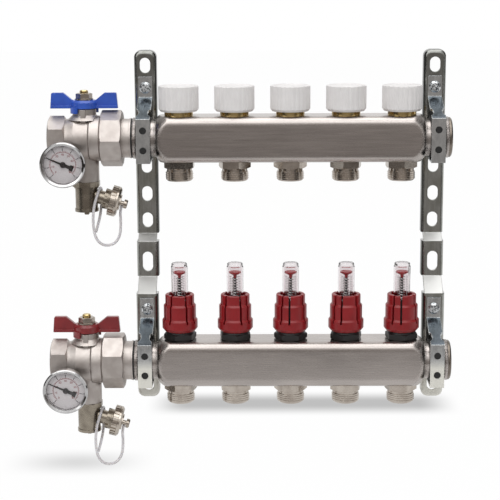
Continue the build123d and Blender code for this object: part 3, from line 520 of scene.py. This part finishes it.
def dialInk(name, colour):
    # screen printed ink, a little uneven
    material, tree, shader, place = newMaterial(name, Roughness=printed["rough"])
    blots = noiseAt(tree, place, printed["blots"], 2)
    tint = addNode(
        tree, "ShaderNodeMix", {"Factor": printed["share"], 6: linear(colour)},
        {7: spread(tree, blots, printed["tints"])}, data_type="RGBA", blend_type="MULTIPLY",
    )
    link(tree, shader, Base_Color=tint.outputs[2])
    return material


wireFinish = {"drawn": (0.6, 0.6, 0.6), "tints": ("#BDBCBB", "#DDDCDB"), "rough": (0.2, 0.3)}


def springSteel():
    # drawn stainless wire, slightly dull
    material, tree, shader, place = newMaterial("springSteel", Metallic=1.0)
    drawn = noiseAt(tree, place, wireFinish["drawn"], 2)
    link(tree, shader, Base_Color=spread(tree, drawn, wireFinish["tints"]))
    link(tree, shader, Roughness=spread(tree, drawn, wireFinish["rough"]))
    return material


milky = {
    "clouds": (4, 4, 4),
    "tints": ("#E8E4E6", "#F2EFF1"),
    "rough": 0.34,
    "through": 0.25,
    "scattered": 0.4,
    "depths": (0.004, 0.0038, 0.0034),
}


def milkyPolyethylene():
    # soft natural LDPE: milky, lets some light through
    material, tree, shader, place = newMaterial(
        "milkyPolyethylene", IOR=1.51, Roughness=milky["rough"], Transmission_Weight=milky["through"],
        Subsurface_Weight=milky["scattered"], Subsurface_Radius=milky["depths"],
    )
    clouds = noiseAt(tree, place, milky["clouds"], 2)
    link(tree, shader, Base_Color=spread(tree, clouds, milky["tints"]))
    return material


ends = ("return", "supply")
each = range(1, layout["circuits"] + 1)
sharpAngles = {"cad": 32, "mesh": 40}        # degrees between faces from which an edge stays sharp
finishes = [
    (brushedStainless(), ["return_bar", "supply_bar"]),
    (zincPlatedSheet(), ["left_bracket", "right_bracket"]),
    (zincPlatedStrap(), ["clamp_straps"]),
    (
        nickelOnBrass("blastedNickel"),
        ["union_nuts"]
        + [f"{e}_{n}" for e in ends for n in ("valve_body", "valve_end_piece", "union_tail")],
    ),
    (nickelOnBrass("turnedNickel"), [f"{e}_handle_nut" for e in ends]),
    (nickelOnBrass("shadedPlugNickel"), ["end_plugs"]),
    (nickelOnBrass("outletNickel"), ["return_outlets", "supply_outlets"]),
    (nickelOnBrass("shadedDrainNickel"), [f"{e}_{n}" for e in ends for n in ("drain_body", "drain_spindle")]),
    (nickelOnBrass("drainCapNickel"), [f"{e}_drain_cap" for e in ends]),
    (turnedBrass(), ["valve_inserts"] + [f"{e}_valve_stem" for e in ends]),
    (zincPlatedScrew(), ["clamp_screws"]),
    (brightChrome(), [f"{e}_{n}" for e in ends for n in ("gauge_case", "valve_ball")]),
    (plastic("whiteAbs"), [f"protective_cap_{k}" for k in each]),
    (plastic("blackNylon"), ["meter_bases"]),
    (plastic("redNylon"), [f"regulating_collar_{k}" for k in each]),
    (floatAndRod(), [f"flow_indicator_{k}" for k in each]),
    (plastic("blackAbs"), [f"{e}_gauge_needle" for e in ends]),
    (plastic("ptfe"), ["ball_seats"]),
    (plastic("epdmRubber"), ["clamp_liners", "union_seals"]),
    (enamel("blueEnamel"), ["return_handle"]),
    (enamel("redEnamel"), ["supply_handle"]),
    (clearPolycarbonate(), ["meter_tubes", "gauge_lenses"]),
    (plastic("dialEnamel"), ["gauge_dials"]),
    (milkyPolyethylene(), [f"{e}_drain_cap_strap" for e in ends]),
]
for material, names in finishes:
    for name in names:
        mesh = nodes[name].data
        mesh.materials.clear()
        mesh.materials.append(material)
        mesh.shade_smooth()
        mesh.set_sharp_from_angle(angle=math.radians(sharpAngles["cad"]))
materialOf = {material.name: material for material, names in finishes}
print("finishes set:", len(finishes))


# New pieces
def addPiece(name, mesh, material, body):
    piece = bpy.data.objects.new(name, mesh)
    scene.collection.objects.link(piece)
    mesh.materials.append(material)
    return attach(piece, body)


def joinRows(shape, rows):
    # closed bar through rows of corners, with both ends capped
    sides = len(rows[0])
    for one, two in zip(rows, rows[1:]):
        for k in range(sides):
            shape.faces.new((one[k], two[k], two[(k + 1) % sides], one[(k + 1) % sides]))
    shape.faces.new(rows[0])
    shape.faces.new(rows[-1][::-1])


def addHelix(shape, centre, radius, top, pitch, turns, section, steps=40, fade=0):
    # closed ridge or wire: section holds (outward, upward) offsets, smaller over its first and last steps
    count = round(turns * steps)
    rings = []
    for i in range(count + 1):
        angle = 2 * math.pi * i / steps
        share = min(1, (min(i, count - i) + 1) / (fade + 1))
        height = top - pitch * i / steps
        rings.append([
            shape.verts.new((
                centre[0] + (radius + out * share) * math.cos(angle),
                centre[1] + (radius + out * share) * math.sin(angle),
                height + up * share,
            ))
            for out, up in section
        ])
    joinRows(shape, rings)


def finishedMesh(shape, name, smooth=True):
    bmesh.ops.recalc_face_normals(shape, faces=shape.faces)
    mesh = bpy.data.meshes.new(name)
    shape.to_mesh(mesh)
    shape.free()
    if smooth:
        mesh.shade_smooth()
        mesh.set_sharp_from_angle(angle=math.radians(sharpAngles["mesh"]))
    return mesh


outletThread = {
    "radius": 0.01205,
    "below": 0.0302,
    "pitch": 0.0019,
    "turns": 3.6,
    "height": 0.0005,
    "root": 0.0006,         # how far the ridge starts inside the nipple
    "flank": 0.8,           # half widths of the ridge at its root and crest, as shares of half the pitch
    "crest": 0.2,
    "runOut": 10,           # steps over which the ridge rises and ends
}


def makeOutletThreads():
    flank, crest = (outletThread[k] * outletThread["pitch"] / 2 for k in ("flank", "crest"))
    root, out = -outletThread["root"], outletThread["height"]
    section = [(root, flank), (out, crest), (out, -crest), (root, -flank)]
    for end, (y, z) in levels.items():
        shape = bmesh.new()
        for x in circuitXs:
            addHelix(
                shape, (x, y), outletThread["radius"], z - outletThread["below"],
                outletThread["pitch"], outletThread["turns"], section, fade=outletThread["runOut"],
            )
        name = f"{end}OutletThreads"
        threads = addPiece(name, finishedMesh(shape, name), materialOf["outletNickel"], "manifold")


meterSpring = {
    "radius": 0.0024,
    "wire": 0.00045,
    "low": 0.0166,
    "high": 0.0773,
    "turns": 25,
    "travel": 0.020,        # of the indicator that shortens the spring
    "wireSides": 6,
    "stepsPerTurn": 20,
}


def makeMeterSprings():
    wire, sides = meterSpring["wire"], meterSpring["wireSides"]
    turns = [2 * math.pi * k / sides for k in range(sides)]
    section = [(wire * math.cos(turn), wire * math.sin(turn)) for turn in turns]
    y, z = levels["supply"]
    length = meterSpring["high"] - meterSpring["low"]
    steel = springSteel()
    for k, x in zip(each, circuitXs):
        shape = bmesh.new()
        addHelix(
            shape, (x, y), meterSpring["radius"], z + meterSpring["high"],
            length / meterSpring["turns"], meterSpring["turns"], section, steps=meterSpring["stepsPerTurn"],
        )
        name = f"indicatorSpring{k}"
        spring = addPiece(name, finishedMesh(shape, name), steel, "manifold")
        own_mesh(spring)


tubeScale = {
    "radius": 0.00752,
    "low": 0.0615,
    "step": 0.0016,
    "marks": 12,
    "columns": (-0.55, 0.55),       # radians to the sides of the tube's front
    "turn": 0.26,                   # what one mark takes of the tube's round, in radians
    "parts": 3,
    "halfWidth": 0.0002,
    "ink": 0.00008,
    "tint": "#5E5859",
}


def makeTubeScales():
    # printed marks on the clear tubes: two columns of short bars
    y, z = levels["supply"]
    half, thick = tubeScale["halfWidth"], tubeScale["ink"]
    section = ((0, -half), (thick, -half), (thick, half), (0, half))
    shape = bmesh.new()
    for x in circuitXs:
        for column in tubeScale["columns"]:
            for i in range(tubeScale["marks"]):
                height = z + tubeScale["low"] + i * tubeScale["step"]
                rows = []
                for part in range(tubeScale["parts"] + 1):
                    angle = column + tubeScale["turn"] * (part / tubeScale["parts"] - 0.5)
                    rows.append([
                        shape.verts.new((
                            x + (tubeScale["radius"] + out) * math.sin(angle),
                            y - (tubeScale["radius"] + out) * math.cos(angle),
                            height + up,
                        ))
                        for out, up in section
                    ])
                joinRows(shape, rows)
    ink = dialInk("greyTubeInk", tubeScale["tint"])
    marks = addPiece("tubeScaleMarks", finishedMesh(shape, "tubeScaleMarks", False), ink, "manifold")


# Cords: the retaining straps of the drain caps, from the cap's nub down, up again and over the neck
strapRoute = {
    "diameter": 0.0025,
    "length": 0.159,
    "roundSteps": 5,
    "lengthSteps": 10,
    "points": [                     # millimetres from the bar's axis at the valve
        (31.5, 0.0, -61.5),
        (29.9, -0.2, -66.9),
        (30.7, -0.9, -77.0),
        (29.6, -2.2, -90.0),
        (23.6, -4.6, -96.9),
        (14.4, -7.6, -96.9),
        (8.2, -9.6, -90.0),
        (6.2, -10.6, -77.0),
        (7.2, -10.8, -61.6),
        (12.2, -9.8, -45.3),
        (12.8, 9.8, -45.3),
        (12.0, 10.2, -63.2),
        (11.4, 0.6, -73.4),
        (8.4, -7.4, -84.5),
    ],
}


def makeStrap(end, y, z):
    x = layout["valveX"]
    points = [(x + a / 1000, y + b / 1000, z + c / 1000) for a, b, c in strapRoute["points"]]
    curve = bpy.data.curves.new(f"{end}CapStrap", "CURVE")
    curve.dimensions = "3D"
    curve.bevel_depth = strapRoute["diameter"] / 2
    curve.bevel_resolution = strapRoute["roundSteps"]
    curve.use_fill_caps = True
    curve.resolution_u = strapRoute["lengthSteps"]
    spline = curve.splines.new("NURBS")
    spline.points.add(len(points) - 1)
    for point, at in zip(spline.points, points):
        point.co = (*at, 1)
    spline.order_u = 3
    spline.use_endpoint_u = True
    strap = addPiece(f"{end}CapStrap", curve, materialOf["milkyPolyethylene"], "manifold")
    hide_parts(f"{end}_drain_cap_strap")


for end, (y, z) in levels.items():
    makeStrap(end, y, z)
print("straps made")

makeOutletThreads()
makeMeterSprings()
makeTubeScales()
print("threads and springs made")


# Dial scales: red arc, ticks and numbers inside, black main ticks and numbers outside, in generic degrees
dialScale = {
    "across": -0.0166,
    "down": -0.0197,
    "face": -0.0305,
    "lift": 0.00012,
    "rimLine": 0.0171,
    "redArc": 0.0112,
    "redTicks": 0.0122,
    "redNumbers": 0.0091,
    "redHeight": 0.0027,
    "blackTicks": (0.0124, 0.0146),
    "blackNumbers": 0.0160,
    "blackHeight": 0.0019,
    "sweep": 270,
    "steps": 40,
    "mainSteps": 8,
    "redHighest": 80,
    "blackLowest": 32,
    "blackHighest": 176,
    "fine": 0.0003,
    "bold": 0.0005,
    "blackTint": "#1B1A1C",
    "redTint": "#A23A3C",
    "arcParts": 60,
    "digitSteps": 3,
}


def addTick(shape, centre, angle, inner, outer, width):
    # a thin raised bar that points at the dial's centre
    ray = Vector((math.sin(angle), 0, math.cos(angle)))
    side = Vector((math.cos(angle), 0, -math.sin(angle))) * width / 2
    back = Vector((0, dialScale["lift"], 0))
    corners = [ray * inner - side, ray * inner + side, ray * outer + side, ray * outer - side]
    near = [shape.verts.new(centre + c) for c in corners]
    far = [shape.verts.new(centre + c + back) for c in corners]
    shape.faces.new(near)
    shape.faces.new(far[::-1])
    for k in range(4):
        shape.faces.new((near[k], far[k], far[(k + 1) % 4], near[(k + 1) % 4]))


def addArc(shape, centre, radius, width, low, high):
    back, parts = Vector((0, dialScale["lift"], 0)), dialScale["arcParts"]
    rows = []
    for i in range(parts + 1):
        angle = low + (high - low) * i / parts
        ray = Vector((math.sin(angle), 0, math.cos(angle)))
        rows.append([
            shape.verts.new(centre + ray * (radius - width / 2)),
            shape.verts.new(centre + ray * (radius + width / 2)),
            shape.verts.new(centre + ray * (radius + width / 2) + back),
            shape.verts.new(centre + ray * (radius - width / 2) + back),
        ])
    joinRows(shape, rows)


def dialNumber(shape, value, centre, angle, radius, height):
    text = bpy.data.curves.new("dialNumber", "FONT")
    text.body = str(value)
    text.size = height
    text.align_x, text.align_y = "CENTER", "CENTER"
    text.extrude = dialScale["lift"] / 2
    text.resolution_u = dialScale["digitSteps"]
    holder = bpy.data.objects.new("dialNumber", text)
    scene.collection.objects.link(holder)
    bpy.context.view_layer.update()
    mesh = bpy.data.meshes.new_from_object(holder)
    bpy.data.objects.remove(holder)
    ray = Vector((math.sin(angle), dialScale["lift"] / 2 / radius, math.cos(angle)))
    upright = Matrix.Rotation(math.radians(90), 4, "X")
    mesh.transform(Matrix.Translation(centre + ray * radius) @ upright)
    shape.from_mesh(mesh)


def makeDialScale(end, y, z, blackInk, redInk):
    centre = Vector((
        layout["valveX"] + dialScale["across"],
        y + dialScale["face"] - dialScale["lift"],
        z + dialScale["down"],
    ))
    half = math.radians(dialScale["sweep"] / 2)
    black = bmesh.new()
    red = bmesh.new()
    addArc(red, centre, dialScale["redArc"], dialScale["fine"], -half, half)
    addArc(black, centre, dialScale["rimLine"], dialScale["fine"], -math.pi, math.pi)
    for i in range(dialScale["steps"] + 1):
        angle = -half + 2 * half * i / dialScale["steps"]
        addTick(red, centre, angle, dialScale["redArc"], dialScale["redTicks"], dialScale["fine"])
    for i in range(dialScale["mainSteps"] + 1):
        share = i / dialScale["mainSteps"]
        angle = -half + 2 * half * share
        addTick(black, centre, angle, *dialScale["blackTicks"], dialScale["bold"])
        redValue = round(dialScale["redHighest"] * share)
        dialNumber(red, redValue, centre, angle, dialScale["redNumbers"], dialScale["redHeight"])
        span = dialScale["blackHighest"] - dialScale["blackLowest"]
        blackValue = round(dialScale["blackLowest"] + span * share)
        dialNumber(black, blackValue, centre, angle, dialScale["blackNumbers"], dialScale["blackHeight"])
    for name, shape, ink in ((f"{end}DialBlack", black, blackInk), (f"{end}DialRed", red, redInk)):
        addPiece(name, finishedMesh(shape, name, False), ink, "manifold")


# Half profile of the cap over a needle's pivot: (radius, depth in front of the bar's axis)
needleCap = {
    "profile": [
        (0.0008, -0.03215), (0.0008, -0.03168), (0.0023, -0.03168), (0.0023, -0.0323), (0.0012, -0.0325),
    ],
    "sides": 32,
}


def makeNeedleCap(end, y, z):
    # black cap over the pivot, turning with the needle
    x, level = layout["valveX"] + dialScale["across"], z + dialScale["down"]
    shape = bmesh.new()
    sides = needleCap["sides"]
    turns = [2 * math.pi * k / sides for k in range(sides)]
    rings = []
    for radius, depth in needleCap["profile"]:
        rings.append([
            shape.verts.new((x + radius * math.cos(turn), y + depth, level + radius * math.sin(turn)))
            for turn in turns
        ])
    for one, two in zip(rings, rings[1:]):
        for k in range(sides):
            shape.faces.new((one[k], one[(k + 1) % sides], two[(k + 1) % sides], two[k]))
    shape.faces.new(rings[0])
    shape.faces.new(rings[-1])
    name = f"{end}NeedleCap"
    cap = addPiece(name, finishedMesh(shape, name), materialOf["blackAbs"], f"{end}_needle")


blackInk = dialInk("blackDialInk", dialScale["blackTint"])
redInk = dialInk("redDialInk", dialScale["redTint"])
for end, (y, z) in levels.items():
    makeDialScale(end, y, z, blackInk, redInk)
    makeNeedleCap(end, y, z)
print("dial scales made")


# Studio: pale floor with painted soft shadows, white surroundings, grey on the camera's side, soft lamps
studio = {
    "floorHeight": -0.205,
    "floorFront": -0.42,
    "floorBack": 6.0,
    "floorHalfWidth": 4.0,
    "floorShare": 0.985,
    "floorMirrored": 0.85,
    "paper": "#EDEDED",
    "ambient": 0.4,
    "side": "#4A4846",
    "sideFade": (0.45, 0.8),
    "backFade": (-0.35, 0.15),
    "aim": (0.0, -0.04, 0.0),
    "front": [
        (0.0, "#D8D4D0"), (0.25, "#8E8A87"), (0.36, "#969290"), (0.43, "#999491"), (0.52, "#96918E"),
        (0.60, "#CFCBC7"), (0.68, "#FFFFFF"),
    ],
    "barShadow": {"centre": (0.016, 0.150), "half": (0.168, 0.047), "core": (0.12, 0.006), "tone": 0.52},
    "drainShadow": {"centre": (-0.199, -0.034), "half": (0.078, 0.042), "core": (0.0, 0.0), "tone": 0.72},
    "lamps": [
        ("topLamp", (0.0, -0.15, 1.5), (1.6, 1.2), 10.0),
        ("frontTopLamp", (-0.3, -1.25, 1.25), (2.0, 0.9), 7.5),
        ("leftLamp", (-1.3, -1.1, 0.75), (0.8, 1.1), 4.0),
        ("rightLamp", (1.4, -0.8, 0.5), (0.7, 1.1), 2.0),
    ],
}


def softPatch(tree, split, patch):
    # 1 on the open floor, falling smoothly to the patch's tone inside it
    fades = []
    for k, axis in enumerate("XY"):
        moved = addNode(
            tree, "ShaderNodeMath", {1: patch["centre"][k]}, {0: split.outputs[axis]}, operation="SUBTRACT",
        )
        away = addNode(tree, "ShaderNodeMath", links={0: moved.outputs[0]}, operation="ABSOLUTE")
        fade = addNode(
            tree, "ShaderNodeMapRange", limits(patch["half"][k], patch["core"][k]),
            {"Value": away.outputs[0]}, interpolation_type="SMOOTHSTEP",
        )
        fades.append(fade.outputs[0])
    depth = addNode(tree, "ShaderNodeMath", links={0: fades[0], 1: fades[1]}, operation="MULTIPLY")
    values = {"To Min": 1.0, "To Max": patch["tone"]}
    return addNode(tree, "ShaderNodeMapRange", values, {"Value": depth.outputs[0]}).outputs[0]


def makeFloor():
    material = bpy.data.materials.new("whitePaperFloor")
    material.use_nodes = True
    tree = material.node_tree
    tree.nodes.clear()
    place = addNode(tree, "ShaderNodeTexCoord").outputs["Object"]
    split = addNode(tree, "ShaderNodeSeparateXYZ", links={"Vector": place})
    patches = [softPatch(tree, split, studio[name]) for name in ("barShadow", "drainShadow")]
    tone = addNode(
        tree, "ShaderNodeMath", links={0: patches[0], 1: patches[1]}, operation="MULTIPLY",
    ).outputs[0]
    paper = addNode(tree, "ShaderNodeBsdfDiffuse", {"Color": linear(studio["paper"])})
    rays = addNode(tree, "ShaderNodeLightPath")
    mirrored = addNode(
        tree, "ShaderNodeMapRange", {"To Min": 1.0, "To Max": studio["floorMirrored"]},
        {"Value": rays.outputs["Is Reflection Ray"]},
    )
    glow = addNode(tree, "ShaderNodeEmission", {}, {"Color": tone, "Strength": mirrored.outputs[0]})
    seen = rays.outputs["Is Camera Ray"]
    for kind in ("Is Glossy Ray", "Is Transmission Ray"):
        seen = addNode(
            tree, "ShaderNodeMath", links={0: seen, 1: rays.outputs[kind]}, operation="MAXIMUM",
        ).outputs[0]
    share = addNode(tree, "ShaderNodeMath", {1: studio["floorShare"]}, {0: seen}, operation="MULTIPLY")
    mixed = addNode(
        tree, "ShaderNodeMixShader", links={0: share.outputs[0], 1: paper.outputs[0], 2: glow.outputs[0]},
    )
    addNode(tree, "ShaderNodeOutputMaterial", links={"Surface": mixed.outputs[0]})
    wide, z = studio["floorHalfWidth"], studio["floorHeight"]
    mesh = bpy.data.meshes.new("whitePaperFloor")
    near, far = studio["floorFront"], studio["floorBack"]
    corners = [(-wide, near, z), (wide, near, z), (wide, far, z), (-wide, far, z)]
    mesh.from_pydata(corners, [], [(0, 1, 2, 3)])
    mesh.materials.append(material)
    floor = bpy.data.objects.new("whitePaperFloor", mesh)
    scene.collection.objects.link(floor)


def makeWorld():
    # white to the camera; reflections see white behind and above, grey in front and at the sides
    world = bpy.data.worlds.new("studio")
    scene.world = world
    world.use_nodes = True
    tree = world.node_tree
    tree.nodes.clear()
    rays = addNode(tree, "ShaderNodeLightPath")
    direction = addNode(tree, "ShaderNodeTexCoord").outputs["Generated"]
    split = addNode(tree, "ShaderNodeSeparateXYZ", links={"Vector": direction})
    height = addNode(tree, "ShaderNodeMapRange", limits(-1.0, 1.0), {"Value": split.outputs["Z"]})
    front = ramp(tree, height.outputs[0], *studio["front"])
    back = addNode(
        tree, "ShaderNodeMapRange", limits(*studio["backFade"]), {"Value": split.outputs["Y"]},
        interpolation_type="SMOOTHSTEP",
    )
    white = {7: linear("#FFFFFF")}
    tone = addNode(tree, "ShaderNodeMix", white, {0: back.outputs[0], 6: front}, data_type="RGBA")
    aside = addNode(tree, "ShaderNodeMath", links={0: split.outputs["X"]}, operation="ABSOLUTE")
    flags = spread(tree, aside.outputs[0], ("#FFFFFF", studio["side"]), *studio["sideFade"])
    toned = addNode(
        tree, "ShaderNodeMix", {"Factor": 1.0}, {6: tone.outputs[2], 7: flags},
        data_type="RGBA", blend_type="MULTIPLY",
    )
    seenWorld = addNode(tree, "ShaderNodeBackground", {"Strength": 1.0}, {"Color": toned.outputs[2]})
    softWorld = addNode(
        tree, "ShaderNodeBackground", {"Color": linear("#FFFFFF"), "Strength": studio["ambient"]},
    )
    whiteWorld = addNode(tree, "ShaderNodeBackground", {"Color": linear("#FFFFFF"), "Strength": 1.0})
    lit = addNode(
        tree, "ShaderNodeMixShader",
        links={0: rays.outputs["Is Diffuse Ray"], 1: seenWorld.outputs[0], 2: softWorld.outputs[0]},
    )
    shown = addNode(
        tree, "ShaderNodeMixShader",
        links={0: rays.outputs["Is Camera Ray"], 1: lit.outputs[0], 2: whiteWorld.outputs[0]},
    )
    addNode(tree, "ShaderNodeOutputWorld", links={"Surface": shown.outputs[0]})


def makeLamps():
    aim = Vector(studio["aim"])
    for name, place, size, power in studio["lamps"]:
        data = bpy.data.lights.new(name, "AREA")
        data.shape = "RECTANGLE"
        data.size, data.size_y = size
        data.energy = power
        lamp = bpy.data.objects.new(name, data)
        lamp.location = place
        lamp.rotation_mode = "QUATERNION"
        lamp.rotation_quaternion = (aim - Vector(place)).to_track_quat("-Z", "Y")
        scene.collection.objects.link(lamp)


makeFloor()
makeWorld()
makeLamps()
scene.view_settings.view_transform = "Standard"
print("studio ready")
